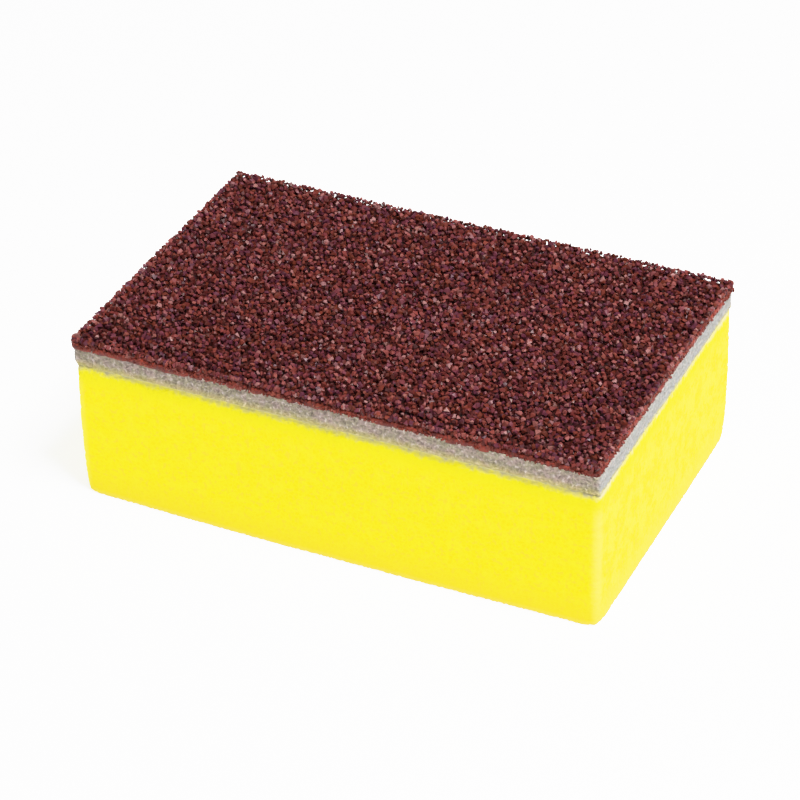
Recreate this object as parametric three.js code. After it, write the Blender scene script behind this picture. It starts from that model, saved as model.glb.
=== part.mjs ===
// An abrasive sponge block: a rectangular hand sponge that lies on its foam face with its abrasive face up.
// Units are millimetres. X runs along the block, Y across it and Z up, from the centre of the foam face.
// The block is a bonded laminate: foam, adhesive film, backing pad, resin coat and abrasive grains.

import * as THREE from 'three';

// Driving dimensions.
const padLength = 110;
const padWidth = 70;
const foamHeight = 30.25;
const adhesiveThickness = 0.25;
const padThickness = 4;
const resinThickness = 0.75;
const grainHeight = 1.75;

// How far each layer's edge lies inside or outside the pad's edge.
const foamSetback = 0.2;
const adhesiveMargin = 0.8;
const coatOverhang = 0.5;

// The foam's cut sides are fullest at mid-height and fall back by this much at the top and the foot.
const foamSideCrown = 0.4;

// Rounding of the vertical corners, and of the foam's edge where it meets the surface that it lies on.
const foamCornerRadius = 1.6;
const foamFootRadius = 0.7;
const adhesiveCornerRadius = 1.5;
const padCornerRadius = 1.2;
const coatCornerRadius = 0.9;

// Fineness of the curved surfaces.
const cornerSegments = 4;
const footRings = 5;
const sideRings = 8;

// Levels of the bond lines, from the foam face up.
const foamTop = foamHeight;
const adhesiveTop = foamTop + adhesiveThickness;
const padTop = adhesiveTop + padThickness;
const resinTop = padTop + resinThickness;
const grainTop = resinTop + grainHeight;

// The half length, half width and corner radius of a layer whose edge lies `setback` inside the pad's edge.
function footprint(setback, cornerRadius) {
  return {
    halfLength: padLength / 2 - setback,
    halfWidth: padWidth / 2 - setback,
    cornerRadius,
  };
}

const foamFootprint = footprint(foamSetback, foamCornerRadius);
const adhesiveFootprint = footprint(foamSetback + foamSideCrown + adhesiveMargin, adhesiveCornerRadius);
const padFootprint = footprint(0, padCornerRadius);
const coatFootprint = footprint(-coatOverhang, coatCornerRadius);

// The corner arcs' centres lie on the corners of this smaller rectangle.
function arcCentre({ halfLength, halfWidth, cornerRadius }) {
  return new THREE.Vector2(halfLength - cornerRadius, halfWidth - cornerRadius);
}

// A rectangle with rounded corners, drawn counterclockwise around the origin.
function roundedRectangle(layer) {
  const centre = arcCentre(layer);
  const quarterTurn = Math.PI / 2;
  const corners = [[1, -1], [1, 1], [-1, 1], [-1, -1]];
  const outline = new THREE.Shape();
  corners.forEach(([sideX, sideY], index) => {
    const start = (index - 1) * quarterTurn;
    const end = start + quarterTurn;
    outline.absarc(sideX * centre.x, sideY * centre.y, layer.cornerRadius, start, end);
  });
  return outline;
}

// A prism of rings, each drawn at its own height and drawn in from the outline by its own inset.
function ringedPrism(layer, rings) {
  const geometry = new THREE.ExtrudeGeometry(roundedRectangle(layer), {
    depth: 1,
    steps: rings.length - 1,
    curveSegments: cornerSegments,
    bevelEnabled: false,
  });
  const centre = arcCentre(layer);
  const position = geometry.getAttribute('position');
  for (let index = 0; index < position.count; index += 1) {
    const ring = rings[Math.round(position.getZ(index) * (rings.length - 1))];
    const innerX = THREE.MathUtils.clamp(position.getX(index), -centre.x, centre.x);
    const innerY = THREE.MathUtils.clamp(position.getY(index), -centre.y, centre.y);
    const outward = new THREE.Vector2(position.getX(index) - innerX, position.getY(index) - innerY);
    outward.setLength(layer.cornerRadius - ring.inset);
    position.setXYZ(index, innerX + outward.x, innerY + outward.y, ring.height);
  }
  geometry.computeVertexNormals();
  return geometry;
}

// A layer with straight sides between two levels.
function flatLayer(layer, bottom, top) {
  return ringedPrism(layer, [
    { height: bottom, inset: 0 },
    { height: top, inset: 0 },
  ]);
}

// How far the foam's side has fallen back from its fullest section at a height.
function crownInset(height) {
  const fromMiddle = (2 * height) / foamHeight - 1;
  return foamSideCrown * fromMiddle ** 2;
}

// The foam's rings: a quarter circle around the foot, then the crowned side up to the bond line.
function foamRings() {
  const rings = [];
  for (let step = 0; step < footRings; step += 1) {
    const angle = (step / footRings) * (Math.PI / 2);
    const height = foamFootRadius * (1 - Math.cos(angle));
    const footInset = foamFootRadius * (1 - Math.sin(angle));
    rings.push({ height, inset: footInset + crownInset(height) });
  }
  for (let step = 0; step <= sideRings; step += 1) {
    const height = THREE.MathUtils.lerp(foamFootRadius, foamTop, step / sideRings);
    rings.push({ height, inset: crownInset(height) });
  }
  return rings;
}

function layerMesh(name, geometry, color, roughness) {
  const material = new THREE.MeshStandardMaterial({ color, roughness, metalness: 0 });
  const mesh = new THREE.Mesh(geometry, material);
  mesh.name = name;
  return mesh;
}

const spongeBlock = new THREE.Group();

// Soft open-cell foam, the part that the hand squeezes.
spongeBlock.add(layerMesh('foam_block', ringedPrism(foamFootprint, foamRings()), 0xfcf123, 0.95));

// Film that bonds the foam to the pad, kept back from the foam's edge.
spongeBlock.add(
  layerMesh('foam_adhesive', flatLayer(adhesiveFootprint, foamTop, adhesiveTop), 0xd8d08c, 0.6),
);

// Thin, denser pad that carries the abrasive.
spongeBlock.add(layerMesh('backing_pad', flatLayer(padFootprint, adhesiveTop, padTop), 0xc1bbb4, 0.9));

// Red binder that holds the grains and runs a little past the pad's edge.
spongeBlock.add(layerMesh('resin_coat', flatLayer(coatFootprint, padTop, resinTop), 0x96433e, 0.45));

// Coat of coarse grains, filled up to the plane through the tips of its tallest grains.
spongeBlock.add(layerMesh('abrasive_grit', flatLayer(coatFootprint, resinTop, grainTop), 0x5a2e2c, 0.7));

export default spongeBlock;
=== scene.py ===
"""An abrasive sponge block: yellow open-cell foam, a grey pad, and maroon grains held in red resin."""

import math

import bmesh
import bpy
import numpy as np
from mathutils import Matrix, Vector, geometry, noise


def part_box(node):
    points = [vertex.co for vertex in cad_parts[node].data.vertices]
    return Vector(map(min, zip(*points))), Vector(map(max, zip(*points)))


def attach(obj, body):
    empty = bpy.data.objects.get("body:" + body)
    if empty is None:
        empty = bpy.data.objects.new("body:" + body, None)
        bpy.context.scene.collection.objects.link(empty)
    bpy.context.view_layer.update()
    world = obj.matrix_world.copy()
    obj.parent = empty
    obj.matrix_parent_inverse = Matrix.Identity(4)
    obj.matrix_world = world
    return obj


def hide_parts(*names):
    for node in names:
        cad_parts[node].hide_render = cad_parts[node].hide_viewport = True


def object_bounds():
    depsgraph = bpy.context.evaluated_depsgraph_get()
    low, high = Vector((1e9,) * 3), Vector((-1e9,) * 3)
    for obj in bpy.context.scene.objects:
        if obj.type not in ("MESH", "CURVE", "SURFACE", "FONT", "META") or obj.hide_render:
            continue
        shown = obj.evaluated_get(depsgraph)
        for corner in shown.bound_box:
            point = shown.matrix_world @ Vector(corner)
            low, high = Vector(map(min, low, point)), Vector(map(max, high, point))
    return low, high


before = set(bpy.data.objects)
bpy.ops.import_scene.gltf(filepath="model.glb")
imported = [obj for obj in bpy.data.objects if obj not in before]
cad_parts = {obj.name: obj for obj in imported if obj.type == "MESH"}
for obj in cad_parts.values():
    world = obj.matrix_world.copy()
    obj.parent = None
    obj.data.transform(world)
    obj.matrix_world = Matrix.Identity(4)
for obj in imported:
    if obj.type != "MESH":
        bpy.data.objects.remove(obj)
cad_low, cad_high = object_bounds()

MM = 0.001
BODY = "root"
SEED = 20

# The camera, seen from the middle of the block's foot, in degrees and metres. Its lens is in millimetres.
CAMERA_AZIMUTH = 25.7
CAMERA_ELEVATION = 34.2
CAMERA_ROLL = -1.21
CAMERA_DISTANCE = 0.6115
CAMERA_ASIDE = -0.0018
CAMERA_ABOVE = 0.0124
CAMERA_LENS = 135.9

# The layers' levels and footprints, from the frame.
foam_low, foam_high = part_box("foam_block")
film_low, film_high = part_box("foam_adhesive")
pad_low, pad_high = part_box("backing_pad")
resin_low, resin_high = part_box("resin_coat")
grit_low, grit_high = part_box("abrasive_grit")

# Foam: the outline, the lip that rises round the film, and the rings between them.
FOAM_CORNER = 1.0 * MM
FOAM_FOOT = 0.6 * MM
FOAM_FOOT_RINGS = 6
FOAM_LIP = 0.25 * MM
FOAM_LIP_RISE = 0.15 * MM
FOAM_LIP_ANGLES = (0.6, 1.1, math.pi / 2)
FOAM_STEP = 0.37 * MM
FOAM_BASE_STEP = 1.0 * MM
FOAM_SHIFT = 0.08 * MM

# How far the foam's sides stand out or draw in.
FOAM_CROWN = 0.36 * MM
FOAM_SIDE_BOW = 0.65 * MM
FOAM_END_BOW = 0.05 * MM
FOAM_WAIST = 0.25 * MM
FOAM_WAIST_REACH = 8 * MM
FOAM_HEEL = 0.6 * MM
FOAM_HEEL_REACH = 3 * MM
FOAM_LONG_WAVE = 0.12 * MM
FOAM_SHORT_WAVE = 0.06 * MM

# The foam's cells, and how far its painted edge highlights, its darker foot, and the painted shade and
# soaked-in glue under the pad reach.
FOAM_CELL = 0.95 * MM
FOAM_CELL_WARP = 0.45
FOAM_PIT_DEPTH = 0.16 * MM
FOAM_EDGE_HIGHLIGHT_REACH = 1.45 * MM
FOAM_FOOT_REACH = 8 * MM
FOAM_BOND_REACH = 6 * MM
FOAM_BOND_RAGGED = 0.5 * MM

# Adhesive film.
FILM_SETBACK = 0.14 * MM
FILM_WANDER = 0.16 * MM
FILM_SOAK = 0.06 * MM
FILM_STEP = 0.5 * MM
FILM_RINGS = 4

# Pad.
PAD_CORNER = 0.6 * MM
PAD_EDGE = 0.15 * MM
PAD_STEP = 0.26 * MM
PAD_SWELL = 0.08 * MM
PAD_LONG_WAVE = 0.1 * MM
PAD_SHORT_WAVE = 0.09 * MM
PAD_TUFT = 0.9 * MM
PAD_TUFT_DEPTH = 0.2 * MM
PAD_STAIN_REACH = 1.6 * MM
PAD_STAIN_LOSS = 0.8 * MM
PAD_STAIN_RAGGED = 0.35 * MM

# Resin.
COAT_CORNER = 0.7 * MM
COAT_PULL_X = 0.7 * MM
COAT_PULL_Y = 0.45 * MM
RESIN_STEP = 0.3 * MM
RESIN_TOP_STEP = 0.75 * MM
RESIN_RINGS = 6
RESIN_INSET = 0.25 * MM
RESIN_ROUND = 0.18 * MM
RESIN_SOAK = 0.55 * MM
RESIN_WANDER = 0.3 * MM
RESIN_LUMP = 0.22 * MM
RESIN_DROOP = 0.3 * MM
RESIN_DROOP_RISE = 0.35 * MM
RESIN_DROOP_REACH = 0.8 * MM

# How far apart the inner points of the faces between the layers lie.
HIDDEN_STEP = 3 * MM
BURIED_STEP = 4 * MM

# Grains. Heights are shares of the abrasive coat's thickness, from the top of the resin. UPPER_DEPTH is how
# far below the coat's top the upper grains' tips may lie.
GRAIN_SHAPES = 48
GRAIN_POINTS = 8
GRAIN_CANDIDATES = 60
GRAIN_CHOICES = 6
GRAIN_STRETCH = np.array([1.12, 0.95, 0.8])
GRAIN_SPREAD = 0.2
GRAIN_SIZES = (0.62, 1.4)
GRID_ROW = 0.866
GRID_JITTER = 0.36
LOWER_SPACING = 1.1 * MM
LOWER_RADIUS = 0.6 * MM
LOWER_HEIGHTS = (0.02, 0.25)
UPPER_SPACING = 1.32 * MM
UPPER_RADIUS = 0.56 * MM
UPPER_DEPTH = 0.55 * MM

# The rows of grains round the rim.
RIM_SPACING = 0.85 * MM
RIM_INSET = 0.6 * MM
RIM_CORNER = 0.3 * MM
RIM_JITTER = 0.15 * MM
RIM_WIDTH = 0.5 * MM
LOW_RIM_HEIGHTS = (-0.2, 0.08)
HIGH_RIM_HEIGHTS = (0.3, 0.5)

# The small grains sunk in the side of the resin.
SKIRT_SPACING = 0.62 * MM
SKIRT_INSET = 0.32 * MM
SKIRT_CORNER = 0.5 * MM
SKIRT_JITTER = 0.18 * MM
SKIRT_RADIUS = 0.4 * MM
SKIRT_SIZES = (0.65, 1.25)
SKIRT_HEIGHTS = (-0.45, -0.2)

# The bake's UV maps: each body's wall lies in the left half and its two caps in the right half. Each grain
# has a tile of its own, and reaches this far across it from the middle.
MAP_MARGIN = 0.01
MAP_HALF = 0.48
MAP_RIGHT = 0.51
MAP_STRIP = (0.02, 0.98)
MAP_GRAIN = 0.42

# The studio, in metres and watts.
FLOOR_SIZE = 8.0
SOFTBOX_PLACE = (0.38, -0.12, 0.8)
SOFTBOX_SIZE = 0.3
SOFTBOX_POWER = 16.0

# Points on the tone curve: straight up to the mid-tones, then a soft shoulder.
TONE_WHITE = 3.5
TONE_STRAIGHT = ((0.35, 0.35), (0.7, 0.7))
TONE_SHOULDER = ((0.85, 0.83), (1.0, 0.915), (1.2, 0.952), (1.5, 0.97), (2.0, 0.985))

# Keeps a place's X and Y only, so that a pattern doesn't change with height.
ACROSS = [1, 1, 0]


def node(tree, kind, inputs=None, **settings):
    """Adds a node, sets its properties, and gives each named or numbered input a value or a link."""
    made = tree.nodes.new(kind)
    for name, value in settings.items():
        setattr(made, name, value)
    for name, value in (inputs or {}).items():
        if isinstance(value, bpy.types.NodeSocket):
            tree.links.new(value, made.inputs[name])
        else:
            made.inputs[name].default_value = value
    return made


def arithmetic(tree, operation, *values):
    """A Math node's result."""
    return node(tree, "ShaderNodeMath", dict(enumerate(values)), operation=operation).outputs[0]


def smooth_step(tree, value, low, high, at_low=0.0, at_high=1.0):
    """at_low below low, at_high above high, and a smooth change between them."""
    ends = {"Value": value, "From Min": low, "From Max": high, "To Min": at_low, "To Max": at_high}
    return node(tree, "ShaderNodeMapRange", ends, interpolation_type="SMOOTHSTEP").outputs["Result"]


def mixed_colour(tree, share, first, second):
    """The first colour where share is 0 and the second where it is 1."""
    inputs = {0: share, 6: first, 7: second}
    return node(tree, "ShaderNodeMix", inputs, data_type="RGBA").outputs[2]


def laid_over(tree, base, layers):
    """The base colour with each layer's colour laid over it, in order, as far as the layer's share says."""
    for share, shade in layers:
        base = mixed_colour(tree, share, base, shade)
    return base


def noise_value(tree, place, scale, detail=2.0, roughness=0.5):
    """A Noise texture's value, with its scale in waves for each unit of the place."""
    inputs = {"Vector": place, "Scale": scale, "Detail": detail, "Roughness": roughness}
    return node(tree, "ShaderNodeTexNoise", inputs).outputs["Fac"]


def scaled(tree, vector, factor):
    """A vector times a number."""
    return node(tree, "ShaderNodeVectorMath", {0: vector, "Scale": factor}, operation="SCALE").outputs[0]


def attribute(tree, name, output="Fac"):
    """A mesh attribute in a material."""
    return node(tree, "ShaderNodeAttribute", attribute_name=name).outputs[output]


def object_place(tree):
    """A point's place on its object, in metres."""
    return node(tree, "ShaderNodeTexCoord").outputs["Object"]


def colour(red, green, blue):
    """An opaque colour, in linear light."""
    return (red, green, blue, 1.0)


def new_material(name):
    """A material with an empty node tree, and that tree."""
    made = bpy.data.materials.new(name)
    made.use_nodes = True
    made.node_tree.nodes.clear()
    return made, made.node_tree


def finish_material(tree, inputs):
    """Ends a material's tree with a Principled shader that has these inputs."""
    shader = node(tree, "ShaderNodeBsdfPrincipled", inputs)
    node(tree, "ShaderNodeOutputMaterial", {"Surface": shader.outputs[0]})


def bump(tree, height, distance, strength=1.0):
    """A normal bent by a height, which runs from 0 to 1 over the distance."""
    inputs = {"Height": height, "Distance": distance, "Strength": strength}
    return node(tree, "ShaderNodeBump", inputs).outputs["Normal"]


def rounded_outline(half_length, half_width, radius, step):
    """Points round a rectangle with rounded corners, counterclockwise, and the outward direction at each."""
    centre = np.array([half_length - radius, half_width - radius])
    corner_signs = [(1, -1), (1, 1), (-1, 1), (-1, -1)]
    arc_steps = max(3, round(radius * math.pi / 2 / step))
    places, outward = [], []
    for quarter, signs in enumerate(corner_signs):
        corner = centre * signs
        for index in range(arc_steps):
            angle = (quarter - 1 + index / arc_steps) * math.pi / 2
            direction = np.array([math.cos(angle), math.sin(angle)])
            places.append(corner + radius * direction)
            outward.append(direction)
        angle = quarter * math.pi / 2
        direction = np.array([math.cos(angle), math.sin(angle)])
        along = np.array([-direction[1], direction[0]])
        length = 2 * centre[(quarter + 1) % 2]
        side_steps = round(length / step)
        for index in range(side_steps):
            places.append(corner + radius * direction + along * length * index / side_steps)
            outward.append(direction)
    return np.array(places), np.array(outward)


def arc_rings(radius, low_height, steps):
    """(height, inset) pairs up a quarter circle, from its level end to just below its upright end."""
    angles = [index / steps * math.pi / 2 for index in range(steps)]
    return [(low_height + radius * (1 - math.cos(a)), radius * (1 - math.sin(a))) for a in angles]


def filled_cap(ring, step, random):
    """Inner points about one step apart, and triangles that fill the ring with them."""
    half = np.abs(ring).max(0) - 0.8 * step - 0.4 * MM
    counts = np.maximum(1, np.round(2 * half / step)).astype(int)
    grid = np.stack(np.meshgrid(*[np.linspace(-h, h, n + 1) for h, n in zip(half, counts)]), -1)
    inner = grid.reshape(-1, 2) + random.uniform(-0.3, 0.3, (grid.size // 2, 2)) * step
    points = np.concatenate([ring, inner])
    edges = [(index, (index + 1) % len(ring)) for index in range(len(ring))]
    found = geometry.delaunay_2d_cdt([Vector(p) for p in points], edges, [], 1, 1e-9)
    return np.array([tuple(p) for p in found[0]])[len(ring):], np.array(found[2])


def wall_map(count, levels, strips):
    """UV corners for the wall's quads, row by row, with the wall folded into strips."""
    column = np.arange(count)
    per_strip = math.ceil(count / strips)
    left = (column % per_strip) / per_strip
    right = left + 1 / per_strip
    band = (column // per_strip) / strips
    height = np.linspace(*MAP_STRIP, levels) / strips
    rows = []
    for row in range(levels - 1):
        low, high = band + height[row], band + height[row + 1]
        corners = [(left, low), (right, low), (right, high), (left, high)]
        placed = [np.stack([MAP_MARGIN + MAP_HALF * across, up], 1) for across, up in corners]
        rows.append(np.stack(placed, 1))
    return np.concatenate(rows).reshape(-1, 2)


def cap_map(vertices, faces, up):
    """UV corners for a cap's triangles, as seen from above, from this height on the map."""
    share = (vertices[:, :2] / np.abs(vertices[:, :2]).max(0) + 1) / 2
    return (np.array([MAP_RIGHT, up]) + MAP_HALF * share[faces]).reshape(-1, 2)


def add_map(mesh, layout):
    """The UV map that the bake uses, with a place for each corner of each face."""
    mesh.uv_layers.new(name="OFBake").uv.foreach_set("vector", layout.astype(np.float32).ravel())


def layered_body(name, outline, rings, base_step, top_step, strips, random):
    """A closed body: (height, inset) rings round an outline, with a cap below and a cap above.

    base_step and top_step are how far apart the caps' inner points lie. On the UV map, the wall is folded
    into this many strips."""
    places, outward = outline
    count, levels = len(places), len(rings)
    rows = [np.column_stack([places - outward * inset, np.full(count, height)]) for height, inset in rings]
    wall = np.array(rows)
    base_inner, base_faces = filled_cap(wall[0, :, :2], base_step, random)
    top_inner, top_faces = filled_cap(wall[-1, :, :2], top_step, random)
    base_points = np.column_stack([base_inner, np.full(len(base_inner), rings[0][0])])
    top_points = np.column_stack([top_inner, np.full(len(top_inner), rings[-1][0])])
    vertices = np.concatenate([wall.reshape(-1, 3), base_points, top_points])

    column = np.arange(count)
    following = (column + 1) % count
    quad = np.stack([column, following, following + count, column + count], 1)
    quads = np.concatenate([quad + row * count for row in range(levels - 1)])
    base_first = levels * count
    top_first = base_first + len(base_inner)
    base_faces = np.where(base_faces < count, base_faces, base_faces - count + base_first)[:, ::-1]
    top_faces = np.where(top_faces < count, top_faces + base_first - count, top_faces - count + top_first)
    mesh = bpy.data.meshes.new(name)
    mesh.from_pydata(vertices, [], [*quads.tolist(), *base_faces.tolist(), *top_faces.tolist()])
    base_map = cap_map(vertices, base_faces, MAP_MARGIN)
    top_map = cap_map(vertices, top_faces, MAP_RIGHT)
    add_map(mesh, np.concatenate([wall_map(count, levels, strips), base_map, top_map]))
    return mesh


def new_piece(name, mesh, material, smooth=True):
    """An object that shows the mesh."""
    mesh.materials.append(material)
    mesh.polygons.foreach_set("use_smooth", [smooth] * len(mesh.polygons))
    made = bpy.data.objects.new(name, mesh)
    bpy.context.scene.collection.objects.link(made)
    return made


def vertex_array(mesh, name):
    """A vector of each vertex, such as its place or its normal."""
    found = np.empty(len(mesh.vertices) * 3, np.float32)
    mesh.vertices.foreach_get(name, found)
    return found.reshape(-1, 3).astype(float)


def set_vertices(mesh, places):
    """Moves the mesh's vertices to these places."""
    mesh.vertices.foreach_set("co", places.astype(np.float32).ravel())
    mesh.update()


def add_attribute(mesh, name, values):
    """A number or a vector for each vertex."""
    kind, field = ("FLOAT_VECTOR", "vector") if values.ndim > 1 else ("FLOAT", "value")
    mesh.attributes.new(name, kind, "POINT").data.foreach_set(field, values.astype(np.float32).ravel())


def waves(places, length, shift, octaves=2):
    """Smooth noise, mostly between -1 and 1, with waves of this length. Each shift gives another pattern."""
    return np.array([noise.fractal(Vector(p), 1.0, 2.0, octaves) for p in places / length + shift])


def outward_from(places, half_length, half_width, radius):
    """The level direction out of a rounded rectangle at each place, or zero well inside it."""
    centre = np.array([half_length - radius, half_width - radius])
    away = places[:, :2] - np.clip(places[:, :2], -centre, centre)
    return away / np.maximum(np.linalg.norm(away, axis=1, keepdims=True), 1e-9)


def cell_gap(tree, place):
    """How far a point is from the nearest cell wall, in cells."""
    inputs = {"Vector": place, "Scale": 1.0, "Randomness": 1.0}
    made = node(tree, "ShaderNodeTexVoronoi", inputs, voronoi_dimensions="3D", feature="DISTANCE_TO_EDGE")
    return made.outputs["Distance"]


def open_cell(tree, place):
    """0 on the cells' walls and 1 in the middle of a cell."""
    return smooth_step(tree, cell_gap(tree, place), 0.03, 0.24)


def press_cells(piece, depth):
    """Moves the surface in by up to depth in the middle of each of its cells, and applies it to the mesh."""
    tree = bpy.data.node_groups.new(piece.name + "_cells", "GeometryNodeTree")
    tree.interface.new_socket("Geometry", in_out="INPUT", socket_type="NodeSocketGeometry")
    tree.interface.new_socket("Geometry", in_out="OUTPUT", socket_type="NodeSocketGeometry")
    source = node(tree, "NodeGroupInput")
    place = node(tree, "GeometryNodeInputNamedAttribute", {"Name": "cells"}, data_type="FLOAT_VECTOR")
    inward = arithmetic(tree, "MULTIPLY", open_cell(tree, place.outputs["Attribute"]), -depth)
    normal = node(tree, "GeometryNodeInputNormal")
    offset = scaled(tree, normal.outputs[0], inward)
    moved = node(tree, "GeometryNodeSetPosition", {"Geometry": source.outputs[0], "Offset": offset})
    node(tree, "NodeGroupOutput", {0: moved.outputs[0]})
    modifier = piece.modifiers.new("cells", "NODES")
    modifier.node_group = tree
    bpy.context.view_layer.objects.active = piece
    bpy.ops.object.modifier_apply(modifier="cells")


def foam_material():
    """Open-celled yellow with patches, flecks, soaked-in glue and a darker foot; painted shade in the pits
    and under the pad, painted sheen on the ends and a painted highlight on the upright edges.
    """
    made, tree = new_material("yellow_foam")
    cells = attribute(tree, "cells", "Vector")
    edge, foot, bond, end = [attribute(tree, name) for name in ("edge", "foot", "bond", "end")]
    opening = open_cell(tree, cells)
    fine_opening = smooth_step(tree, cell_gap(tree, scaled(tree, cells, 2.3)), 0.02, 0.3)
    patches = noise_value(tree, cells, 0.3, 3.0, 0.6)
    specks = noise_value(tree, cells, 0.9, 2.0)
    mottle = smooth_step(tree, arithmetic(tree, "MULTIPLY_ADD", specks, 0.6, patches), 0.68, 0.92, 0.1, 0.9)
    soaked = arithmetic(tree, "MULTIPLY_ADD", arithmetic(tree, "SUBTRACT", specks, 0.5), 0.35, bond)
    # depth also sets the base colour: painted shade, darker in the cell pits and lighter on the walls.
    depth = arithmetic(tree, "MULTIPLY_ADD", opening, 0.5, arithmetic(tree, "MULTIPLY", fine_opening, 0.3))

    wall, hollow_shade = colour(0.97, 0.88, 0.008), colour(0.93, 0.8, 0.001)
    pale_patch, fleck = colour(0.96, 0.87, 0.02), colour(0.95, 0.8, 0.024)
    end_sheen_mottle, edge_highlight = colour(0.94, 0.865, 0.045), colour(0.97, 0.885, 0.12)
    foot_darkening = mixed_colour(tree, end, colour(0.74, 0.62, 0.018), colour(0.78, 0.7, 0.06))
    foot_line = colour(0.6, 0.5, 0.14)
    shaded = colour(0.72, 0.66, 0.008)
    glued = mixed_colour(tree, end, colour(0.5, 0.455, 0.17), colour(0.48, 0.45, 0.29))
    bond_line = colour(0.36, 0.325, 0.22)
    base = laid_over(tree, mixed_colour(tree, depth, wall, hollow_shade), [
        (smooth_step(tree, patches, 0.42, 0.66, 0.0, 0.7), pale_patch),
        (smooth_step(tree, specks, 0.54, 0.66, 0.0, 0.9), fleck),
        # Painted sheen: paler mottling laid on the end faces only.
        (arithmetic(tree, "MULTIPLY", end, mottle), end_sheen_mottle),
        # Painted highlight along the upright corners.
        (arithmetic(tree, "MULTIPLY", edge, 0.75), edge_highlight),
        # Darker towards the bottom, with a darker band along the lowest edge.
        (arithmetic(tree, "MULTIPLY", foot, 0.9), foot_darkening),
        (smooth_step(tree, foot, 0.8, 1.0, 0.0, 0.5), foot_line),
        # Painted shade: the foam darkens within a few millimetres below the pad.
        (smooth_step(tree, bond, 0.0, 0.75), shaded),
        (smooth_step(tree, soaked, 0.69, 0.96, 0.0, 0.9), glued),
        (smooth_step(tree, soaked, 0.92, 1.0, 0.0, 0.75), bond_line),
    ])
    height = arithmetic(tree, "MULTIPLY_ADD", depth, -1.0, 1.0)
    finish_material(tree, {
        "Base Color": base,
        "Roughness": smooth_step(tree, patches, 0.3, 0.7, 0.78, 0.92),
        "Specular IOR Level": 0.1,
        "Sheen Weight": 0.025,
        "Sheen Roughness": 0.5,
        "Normal": bump(tree, height, 0.12 * MM, 0.6),
    })
    return made


def foam_swell(places, normals, level, to_corner):
    """How far each point stands out from the outline. The level runs from 0 at the foot to 1 at the lip.

    The sides bow and have a crown. They draw in to a waist under the pad, and at the foot's corners."""
    across_x, across_y = places[:, 0] / foam_high.x, places[:, 1] / foam_high.y
    bow = FOAM_END_BOW * np.abs(normals[:, 0]) * (1 - across_y**2)
    bow += FOAM_SIDE_BOW * np.abs(normals[:, 1]) * (1 - across_x**2)
    swell = bow * (1 - level**3) + FOAM_CROWN * (1.4 - (2 * level - 0.75) ** 2)
    swell -= FOAM_WAIST * level**6 * np.clip(to_corner / FOAM_WAIST_REACH - 0.6, -0.6, 1)
    swell -= FOAM_HEEL * (1 - level) ** 8 * np.clip(1 - to_corner / FOAM_HEEL_REACH, 0, 1)
    swell += FOAM_LONG_WAVE * waves(places, 26 * MM, 3.0) + FOAM_SHORT_WAVE * waves(places, 5 * MM, 9.0)
    return swell


def build_foam(random):
    """The foam block: crowned cut sides, a soft foot, open cells, and a lip that meets the pad."""
    outline = rounded_outline(foam_high.x, foam_high.y, FOAM_CORNER, FOAM_STEP)
    lip_top = foam_high.z + FOAM_LIP_RISE
    side_low, side_high = foam_low.z + FOAM_FOOT, lip_top - FOAM_LIP
    side_steps = round((side_high - side_low) / FOAM_STEP)
    rings = arc_rings(FOAM_FOOT, foam_low.z, FOAM_FOOT_RINGS)
    rings += [(height, 0.0) for height in np.linspace(side_low, side_high, side_steps)]
    for angle in FOAM_LIP_ANGLES:
        rings.append((lip_top - FOAM_LIP * (1 - math.sin(angle)), FOAM_LIP * (1 - math.cos(angle))))
    mesh = layered_body("foam", outline, rings, FOAM_BASE_STEP, BURIED_STEP, strips=4, random=random)

    places = vertex_array(mesh, "co")
    normals = vertex_array(mesh, "normal")
    level = np.clip((places[:, 2] - foam_low.z) / (lip_top - foam_low.z), 0, 1)
    to_corner = np.hypot(foam_high.x - np.abs(places[:, 0]), foam_high.y - np.abs(places[:, 1]))
    swell = foam_swell(places, normals, level, to_corner)
    # The lip moves less than the sides, and the level faces never move out.
    swell[places[:, 2] > side_high + 0.01 * MM] *= 0.4
    flat = np.abs(normals[:, 2]) > 0.9
    swell[flat] = np.minimum(0.3 * swell[flat], 0)

    warp = np.stack([waves(places, 2.6 * MM, shift, 1) for shift in (1.0, 5.0, 11.0)], 1)
    ragged = FOAM_BOND_RAGGED * waves(places, 2.2 * MM, 17.0)
    add_attribute(mesh, "cells", places / FOAM_CELL + FOAM_CELL_WARP * warp)
    # The edge attribute places a painted highlight along the upright corners.
    add_attribute(mesh, "edge", np.clip(1 - to_corner / FOAM_EDGE_HIGHLIGHT_REACH, 0, 1) ** 0.8)
    # foot makes the foam darker towards the bottom.
    add_attribute(mesh, "foot", np.clip(1 - (places[:, 2] - foam_low.z) / FOAM_FOOT_REACH, 0, 1))
    add_attribute(mesh, "end", np.abs(normals[:, 0]))
    # bond drives both the painted shade under the pad and the soaked-in glue.
    add_attribute(mesh, "bond", np.clip(1 - (lip_top - places[:, 2] + ragged) / FOAM_BOND_REACH, 0, 1))
    places = places + normals * swell[:, None] + [FOAM_SHIFT, 0, 0]
    places[:, 2] = np.maximum(places[:, 2], foam_low.z)
    set_vertices(mesh, places)
    piece = new_piece("foam", mesh, foam_material())
    press_cells(piece, FOAM_PIT_DEPTH)
    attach(piece, BODY)
    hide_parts("foam_block")


def film_material():
    """Streaky dull adhesive."""
    made, tree = new_material("adhesive_film")
    streaks = noise_value(tree, object_place(tree), 900.0, 3.0)
    finish_material(tree, {
        "Base Color": mixed_colour(tree, streaks, colour(0.33, 0.3, 0.12), colour(0.46, 0.42, 0.19)),
        "Roughness": smooth_step(tree, streaks, 0.3, 0.7, 0.4, 0.65),
        "Normal": bump(tree, streaks, 0.05 * MM),
    })
    return made


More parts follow.
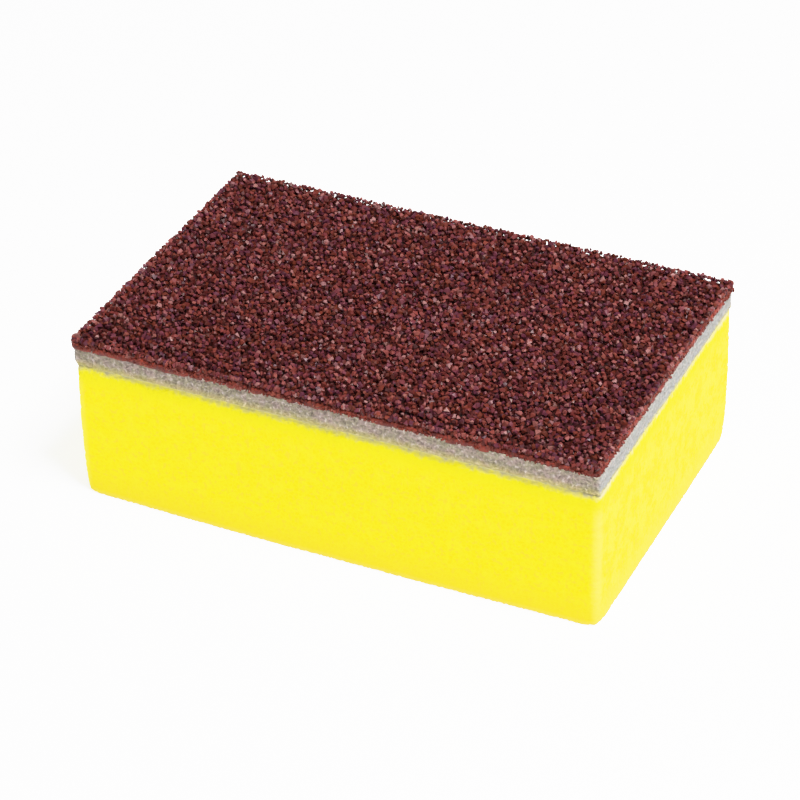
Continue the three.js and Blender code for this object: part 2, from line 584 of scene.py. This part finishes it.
def build_film(random):
    """The adhesive film: its edge wanders in and out, and shows only where it squeezed out."""
    outline = rounded_outline(foam_high.x, foam_high.y, FOAM_CORNER, FILM_STEP)
    low, high = film_low.z - FILM_SOAK, film_high.z + FILM_SOAK
    rings = [(height, FILM_SETBACK) for height in np.linspace(low, high, FILM_RINGS)]
    mesh = layered_body("adhesive_film", outline, rings, BURIED_STEP, BURIED_STEP, strips=16, random=random)
    places = vertex_array(mesh, "co")
    rim = np.abs(places[:, :2] / np.abs(places[:, :2]).max(0)).max(1) > 0.9
    wander = FILM_WANDER * waves(places * ACROSS, 2.2 * MM, 7.0) * rim
    places[:, :2] += outward_from(places, foam_high.x, foam_high.y, FOAM_CORNER) * wander[:, None]
    set_vertices(mesh, places)
    piece = new_piece("adhesive_film", mesh, film_material())
    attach(piece, BODY)
    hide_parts("foam_adhesive")


def pad_material():
    """Speckled grey felt, rougher and warmer on the long sides, with a cooler grey painted on the ends as
    sheen, painted shade in its tuft openings, and yellow soaked into its low edge.
    """
    made, tree = new_material("grey_pad")
    tufts = attribute(tree, "cells", "Vector")
    low_edge, end = attribute(tree, "low_edge"), attribute(tree, "end")
    roughened = arithmetic(tree, "MULTIPLY_ADD", end, -0.65, 1.0)
    opening = open_cell(tree, tufts)
    speckle = noise_value(tree, tufts, 0.95, 3.0, 0.6)
    tint = smooth_step(tree, noise_value(tree, tufts, 0.5, 1.0), 0.35, 0.65)
    dark = smooth_step(tree, speckle, 0.32, 0.46, 0.75, 0.0)
    pale = smooth_step(tree, speckle, 0.52, 0.66, 0.0, 0.85)

    pink_grey, green_grey = colour(0.322, 0.248, 0.224), colour(0.282, 0.25, 0.18)
    end_sheen_grey = colour(0.25, 0.26, 0.26)
    dark_speck, pale_speck = colour(0.129, 0.101, 0.082), colour(0.495, 0.423, 0.396)
    hollow_shade, stain = colour(0.188, 0.152, 0.12), colour(0.5, 0.44, 0.08)
    base = laid_over(tree, mixed_colour(tree, tint, pink_grey, green_grey), [
        # Painted sheen: the ends get a cooler, more even grey.
        (arithmetic(tree, "MULTIPLY", end, 0.85), end_sheen_grey),
        (arithmetic(tree, "MULTIPLY", dark, roughened), dark_speck),
        (arithmetic(tree, "MULTIPLY", pale, roughened), pale_speck),
        # Painted shade in the tuft openings.
        (arithmetic(tree, "MULTIPLY", opening, 0.3), hollow_shade),
        (arithmetic(tree, "MULTIPLY", low_edge, 0.5), stain),
    ])
    relief = arithmetic(tree, "MULTIPLY_ADD", opening, -0.6, speckle)
    height = arithmetic(tree, "MULTIPLY", relief, roughened)
    finish_material(tree, {
        "Base Color": base,
        "Roughness": smooth_step(tree, speckle, 0.3, 0.7, 0.75, 0.95),
        "Specular IOR Level": 0.15,
        "Normal": bump(tree, height, 0.15 * MM, 0.8),
    })
    return made


def build_pad(random):
    """The grey pad: a thin slab with felted sides, whose low edge took up some of the foam's yellow."""
    outline = rounded_outline(pad_high.x, pad_high.y, PAD_CORNER, PAD_STEP)
    side_low, side_high = pad_low.z + PAD_EDGE, pad_high.z
    side_steps = round((side_high - side_low) / PAD_STEP) + 1
    rings = arc_rings(PAD_EDGE, pad_low.z, 2)
    rings += [(height, 0.0) for height in np.linspace(side_low, side_high, side_steps)]
    mesh = layered_body("pad", outline, rings, HIDDEN_STEP, HIDDEN_STEP, strips=16, random=random)
    places = vertex_array(mesh, "co")
    normals = vertex_array(mesh, "normal")
    rim = np.abs(places[:, :2] / np.array([pad_high.x, pad_high.y])).max(1) > 0.985
    swell = PAD_SWELL + PAD_LONG_WAVE * waves(places, 12 * MM, 4.0)
    swell += PAD_SHORT_WAVE * waves(places, 1.1 * MM, 2.0, 3)
    stain_reach = PAD_STAIN_REACH - PAD_STAIN_LOSS * np.abs(normals[:, 0])
    ragged = PAD_STAIN_RAGGED * waves(places * ACROSS, 1.6 * MM, 13.0)
    add_attribute(mesh, "cells", places / PAD_TUFT)
    add_attribute(mesh, "end", np.abs(normals[:, 0]))
    add_attribute(mesh, "low_edge", np.clip(1 - (places[:, 2] - pad_low.z + ragged) / stain_reach, 0, 1))
    set_vertices(mesh, places + normals * (swell * rim)[:, None])
    piece = new_piece("pad", mesh, pad_material())
    press_cells(piece, PAD_TUFT_DEPTH)
    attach(piece, BODY)
    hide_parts("backing_pad")


def pull_in_corner(places):
    """The coat is cut a little short at its front right corner: moves points there in, and the rest less."""
    near_end = np.clip((1 + places[:, 0] / grit_high.x) / 2, 0, 1)
    near_front = np.clip((1 - places[:, 1] / grit_high.y) / 2, 0, 1)
    places[:, 0] -= COAT_PULL_X * near_end * np.sqrt(near_front)
    places[:, 1] += COAT_PULL_Y * near_end * near_front


def resin_material():
    """Red resin at the rim, and painted nearly black between the grains as shade."""
    made, tree = new_material("red_resin")
    thick = noise_value(tree, object_place(tree), 420.0, 3.0)
    thickness = smooth_step(tree, thick, 0.35, 0.65)
    edge = mixed_colour(tree, thickness, colour(0.09, 0.013, 0.011), colour(0.21, 0.032, 0.018))
    finish_material(tree, {
        # Painted shade: away from the rim the resin is nearly black, as between the grains.
        "Base Color": mixed_colour(tree, attribute(tree, "rim"), colour(0.025, 0.005, 0.004), edge),
        "Roughness": smooth_step(tree, thick, 0.3, 0.7, 0.3, 0.5),
        "Specular IOR Level": 0.2,
        "Normal": bump(tree, thick, 0.15 * MM, 0.8),
    })
    return made


def build_resin(random):
    """The binder coat: a lumpy red sheet with a rounded rim that wanders, and droops in places."""
    half_length, half_width = resin_high.x - RESIN_INSET, resin_high.y - RESIN_INSET
    outline = rounded_outline(half_length, half_width, COAT_CORNER, RESIN_STEP)
    low = resin_low.z - RESIN_SOAK
    bead = resin_high.z - low
    angles = np.linspace(-0.5, 0.5, RESIN_RINGS) * math.pi
    rings = [(low + bead * (1 + math.sin(a)) / 2, RESIN_ROUND * (1 - math.cos(a))) for a in angles]
    mesh = layered_body("resin", outline, rings, HIDDEN_STEP, RESIN_TOP_STEP, strips=16, random=random)
    places = vertex_array(mesh, "co")
    outward = outward_from(places, half_length, half_width, COAT_CORNER)
    wander = RESIN_WANDER * waves(places * [1, 1, 0.5], 2.0 * MM, 6.0, 3)
    places[:, :2] += outward * wander[:, None]
    upper = places[:, 2] > resin_high.z - 0.01 * MM
    places[upper, 2] += RESIN_LUMP * waves(places[upper], 1.3 * MM, 2.0)
    lower = places[:, 2] < low + RESIN_DROOP_RISE
    droop = np.clip(waves(places * ACROSS, 3.0 * MM, 15.0), -0.4, 1)
    inset = np.minimum(half_length - np.abs(places[:, 0]), half_width - np.abs(places[:, 1]))
    places[:, 2] -= RESIN_DROOP * droop * lower * (inset < RESIN_DROOP_REACH)
    # rim is 1 at the coat's edge; inside it the resin is painted dark as shade between the grains.
    add_attribute(mesh, "rim", np.clip(1.6 - inset / MM, 0, 1))
    pull_in_corner(places)
    set_vertices(mesh, places)
    piece = new_piece("resin", mesh, resin_material())
    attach(piece, BODY)
    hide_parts("resin_coat")


def crystal(random):
    """A sharp convex crystal of about unit radius: its vertices and its triangles."""
    candidates = random.normal(size=(GRAIN_CANDIDATES, 3))
    candidates /= np.linalg.norm(candidates, axis=1, keepdims=True)
    chosen = [candidates[0]]
    while len(chosen) < GRAIN_POINTS:
        gaps = np.linalg.norm(candidates[:, None] - np.array(chosen)[None], axis=2).min(1)
        chosen.append(candidates[np.argsort(gaps)[-1 - random.integers(GRAIN_CHOICES)]])
    shape = bmesh.new()
    for point in np.array(chosen) * random.uniform(0.85, 1.1, (GRAIN_POINTS, 1)):
        shape.verts.new(point)
    bmesh.ops.convex_hull(shape, input=shape.verts)
    bmesh.ops.delete(shape, geom=[v for v in shape.verts if not v.link_faces], context="VERTS")
    bmesh.ops.recalc_face_normals(shape, faces=shape.faces)
    bmesh.ops.triangulate(shape, faces=shape.faces)
    shape.verts.index_update()
    points = np.array([tuple(v.co) for v in shape.verts])
    faces = np.array([[v.index for v in f.verts] for f in shape.faces])
    shape.free()
    return points * GRAIN_STRETCH, faces


def jittered(points, most, random):
    """The points, each moved by up to this much along X and along Y."""
    return points + random.uniform(-most, most, points.shape)


def scattered(spacing, half_length, half_width, random):
    """Points on a jittered triangular grid."""
    rows = np.arange(-half_width, half_width + 1e-9, spacing * GRID_ROW)
    columns = np.arange(-half_length, half_length + 1e-9, spacing)
    x, y = np.meshgrid(columns, rows)
    x[::2] += spacing / 2
    return jittered(np.stack([x.ravel(), y.ravel()], 1), GRID_JITTER * spacing, random)


def turns(count, random):
    """Random rotation matrices."""
    q = random.normal(size=(count, 4))
    w, x, y, z = (q / np.linalg.norm(q, axis=1, keepdims=True)).T
    rows = [
        [1 - 2 * (y * y + z * z), 2 * (x * y - z * w), 2 * (x * z + y * w)],
        [2 * (x * y + z * w), 1 - 2 * (x * x + z * z), 2 * (y * z - x * w)],
        [2 * (x * z - y * w), 2 * (y * z + x * w), 1 - 2 * (x * x + y * y)],
    ]
    return np.array(rows).transpose(2, 0, 1)


def grit_material():
    """Maroon crystals, each with its own tone and hue, under a thin uneven film of resin."""
    made, tree = new_material("maroon_grit")
    hue = attribute(tree, "hue")
    film = noise_value(tree, object_place(tree), 1500.0, 3.0)
    ramp = node(tree, "ShaderNodeValToRGB", {"Fac": attribute(tree, "tone")})
    stops = [
        (0.0, colour(0.026, 0.004, 0.004)),
        (0.35, colour(0.07, 0.011, 0.009)),
        (0.7, colour(0.14, 0.026, 0.022)),
        (0.92, colour(0.19, 0.055, 0.05)),
        (0.985, colour(0.23, 0.11, 0.105)),
    ]
    elements = ramp.color_ramp.elements
    for index, (position, shade) in enumerate(stops):
        element = elements[index] if index < 2 else elements.new(position)
        element.position = position
        element.color = shade
    purple, rust, resin = colour(0.082, 0.02, 0.042), colour(0.14, 0.03, 0.011), colour(0.06, 0.012, 0.01)
    base = laid_over(tree, ramp.outputs[0], [
        (smooth_step(tree, hue, 0.55, 1.0, 0.0, 0.6), purple),
        (smooth_step(tree, hue, 0.0, 0.35, 0.4, 0.0), rust),
        (smooth_step(tree, film, 0.5, 0.7, 0.0, 0.4), resin),
    ])
    finish_material(tree, {
        "Base Color": base,
        "Roughness": smooth_step(tree, film, 0.3, 0.7, 0.3, 0.5),
        "Specular IOR Level": 0.15,
        "Normal": bump(tree, film, 0.08 * MM, 0.5),
    })
    return made


def grain_centres(random):
    """Each grain's centre and radius, and the indices of the lower layer, its rim row and the skirt.

    The lower layer comes first, with its rim row at its head. Two more rim rows and the upper layer lie on
    it, and the skirt comes last."""
    half_length, half_width = grit_high.x, grit_high.y
    rim = rounded_outline(half_length - RIM_INSET, half_width - RIM_INSET, RIM_CORNER, RIM_SPACING)[0]
    between = (rim + np.roll(rim, 1, 0)) / 2
    rim_rows = [jittered(row, RIM_JITTER, random) for row in (rim, between, rim)]
    inner = np.array([half_length, half_width]) - RIM_INSET - RIM_WIDTH
    lower = scattered(LOWER_SPACING, half_length, half_width, random)
    upper = scattered(UPPER_SPACING, half_length, half_width, random)
    lower = lower[(np.abs(lower) < inner).all(1)]
    upper = upper[(np.abs(upper) < inner).all(1)]
    skirt_half = half_length - SKIRT_INSET, half_width - SKIRT_INSET
    skirt = jittered(rounded_outline(*skirt_half, SKIRT_CORNER, SKIRT_SPACING)[0], SKIRT_JITTER, random)
    points = np.concatenate([rim_rows[0], lower, *rim_rows[1:], upper, skirt])

    low_count = len(rim) + len(lower)
    high_count = len(points) - low_count
    low_rim = slice(0, len(rim))
    high_rim = slice(low_count, low_count + len(rim))
    skirt_row = slice(-len(skirt), None)
    size = np.repeat([LOWER_RADIUS, UPPER_RADIUS], [low_count, high_count])
    size *= np.clip(np.exp(random.normal(0, GRAIN_SPREAD, len(points))), *GRAIN_SIZES)
    thickness = grit_high.z - grit_low.z
    height = np.concatenate([
        random.uniform(*LOWER_HEIGHTS, low_count) * thickness,
        thickness - size[low_count:] - UPPER_DEPTH * random.random(high_count) ** 1.5,
    ])
    height[low_rim] = random.uniform(*LOW_RIM_HEIGHTS, len(rim)) * thickness
    height[high_rim] = random.uniform(*HIGH_RIM_HEIGHTS, len(rim)) * thickness
    size[skirt_row] = SKIRT_RADIUS * random.uniform(*SKIRT_SIZES, len(skirt))
    height[skirt_row] = random.uniform(*SKIRT_HEIGHTS, len(skirt)) * thickness
    return np.column_stack([points, grit_low.z + height]), size, (slice(0, low_count), low_rim, skirt_row)


def grain_shades(count, parts, random):
    """Each grain's tone and hue: painted shade darkens the lower layer, and painted light brightens the
    redder low rim and skirt.
    """
    lower_layer, low_rim, skirt_row = parts
    tone, hue = random.random(count), random.random(count)
    # Painted shade: the lower layer, under the upper grains, is darker.
    tone[lower_layer] *= 0.6
    # Painted light: the low rim and skirt are lifted brighter against the shade of the grains above.
    tone[low_rim] = 0.35 + tone[low_rim]
    tone[skirt_row] = 0.4 + 0.5 * tone[skirt_row]
    for row in (low_rim, skirt_row):
        hue[row] *= 0.2
    return tone, hue


def build_grit(random):
    """The abrasive coat: thousands of sharp crystals, each a turned and sized copy of one of the shapes."""
    centres, size, parts = grain_centres(random)
    count = len(centres)
    rotation = turns(count, random)
    choice = random.integers(GRAIN_SHAPES, size=count)
    tone, hue = grain_shades(count, parts, random)
    tiles = math.ceil(math.sqrt(count))

    vertices, faces, tones, hues, layout = [], [], [], [], []
    first = 0
    for index in range(GRAIN_SHAPES):
        shape, triangles = crystal(random)
        members = np.flatnonzero(choice == index)
        turned = np.einsum("nij,vj->nvi", rotation[members], shape) * size[members, None, None]
        vertices.append((turned + centres[members, None]).reshape(-1, 3))
        offsets = first + np.arange(len(members)) * len(shape)
        faces.append((triangles[None] + offsets[:, None, None]).reshape(-1, 3))
        tones.append(np.repeat(tone[members], len(shape)))
        hues.append(np.repeat(hue[members], len(shape)))
        across = turned[:, :, :2]
        inside = 0.5 + MAP_GRAIN * across / np.abs(across).max((1, 2), keepdims=True)
        tile = np.stack([members % tiles, members // tiles], 1)
        layout.append(((inside + tile[:, None]) / tiles).reshape(-1, 2))
        first += len(members) * len(shape)
    vertices, faces, layout = np.concatenate(vertices), np.concatenate(faces), np.concatenate(layout)
    pull_in_corner(vertices)
    mesh = bpy.data.meshes.new("grit")
    mesh.from_pydata(vertices, [], faces.tolist())
    add_map(mesh, layout[faces])
    add_attribute(mesh, "tone", np.concatenate(tones))
    add_attribute(mesh, "hue", np.concatenate(hues))
    piece = new_piece("grit", mesh, grit_material(), smooth=False)
    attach(piece, BODY)
    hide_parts("abrasive_grit")


def camera_axes():
    """The camera's right, up and back directions, rolled."""
    azimuth, elevation, roll = map(math.radians, (CAMERA_AZIMUTH, CAMERA_ELEVATION, CAMERA_ROLL))
    level = math.cos(elevation)
    back = Vector((math.sin(azimuth) * level, -math.cos(azimuth) * level, math.sin(elevation)))
    right = Vector((math.cos(azimuth), math.sin(azimuth), 0.0))
    up = back.cross(right)
    return math.cos(roll) * right + math.sin(roll) * up, math.cos(roll) * up - math.sin(roll) * right, back


def add_camera():
    """The camera, which looks at the block from its front right and above."""
    right, up, back = camera_axes()
    data = bpy.data.cameras.new("camera")
    data.lens = CAMERA_LENS
    data.clip_start, data.clip_end = 0.05, 20.0
    camera = bpy.data.objects.new("camera", data)
    bpy.context.scene.collection.objects.link(camera)
    foot = Vector(((cad_low.x + cad_high.x) / 2, (cad_low.y + cad_high.y) / 2, cad_low.z))
    placed = Matrix((right, up, back)).transposed().to_4x4()
    placed.translation = foot + CAMERA_DISTANCE * back + CAMERA_ASIDE * right + CAMERA_ABOVE * up
    camera.matrix_world = placed
    bpy.context.scene.camera = camera


def add_softbox():
    """A square area light up on the right, which faces the middle of the block."""
    data = bpy.data.lights.new("softbox", "AREA")
    data.size = SOFTBOX_SIZE
    data.energy = SOFTBOX_POWER
    lamp = bpy.data.objects.new("softbox", data)
    bpy.context.scene.collection.objects.link(lamp)
    lamp.location = SOFTBOX_PLACE
    lamp.rotation_mode = "QUATERNION"
    middle = Vector((0.0, 0.0, cad_high.z / 2))
    lamp.rotation_quaternion = (middle - Vector(SOFTBOX_PLACE)).to_track_quat("-Z", "Y")


def add_floor():
    """A wide pale floor that glows, so that it comes out near white."""
    bpy.ops.mesh.primitive_plane_add(size=FLOOR_SIZE, location=(0, 0, cad_low.z))
    floor = bpy.context.object
    floor.name = "floor"
    made, tree = new_material("floor")
    grain = noise_value(tree, object_place(tree), 30.0)
    finish_material(tree, {
        "Base Color": mixed_colour(tree, grain, colour(0.54, 0.54, 0.54), colour(0.57, 0.57, 0.57)),
        "Roughness": 0.9,
        "Specular IOR Level": 0.1,
        "Emission Color": colour(1.0, 1.0, 1.0),
        "Emission Strength": 0.75,
    })
    floor.data.materials.append(made)


def add_surround():
    """A white surround, brightest at the horizon and dimmer overhead."""
    world = bpy.data.worlds.new("surround")
    world.use_nodes = True
    tree = world.node_tree
    background = tree.nodes["Background"]
    direction = node(tree, "ShaderNodeTexCoord").outputs["Generated"]
    upward = node(tree, "ShaderNodeSeparateXYZ", {0: direction}).outputs[2]
    tree.links.new(smooth_step(tree, upward, 0.0, 0.7, 1.0, 0.4), background.inputs["Strength"])
    background.inputs["Color"].default_value = colour(1.0, 1.0, 1.0)
    bpy.context.scene.world = world


def set_tone():
    """A soft shoulder that lets the lit foam near white without paling its yellow."""
    view = bpy.context.scene.view_settings
    view.view_transform = "Standard"
    view.use_curve_mapping = True
    curves = view.curve_mapping
    curves.tone = "FILMLIKE"
    curves.use_clip = False
    combined = curves.curves[3]
    combined.points[0].location = (0.0, 0.0)
    combined.points[1].location = (TONE_WHITE, 1.0)
    for place in TONE_STRAIGHT + TONE_SHOULDER:
        combined.points.new(*place)
    curves.update()


add_camera()
random = np.random.default_rng(SEED)
build_foam(random)
build_film(random)
build_pad(random)
build_resin(random)
build_grit(random)
add_floor()
add_surround()
add_softbox()
set_tone()
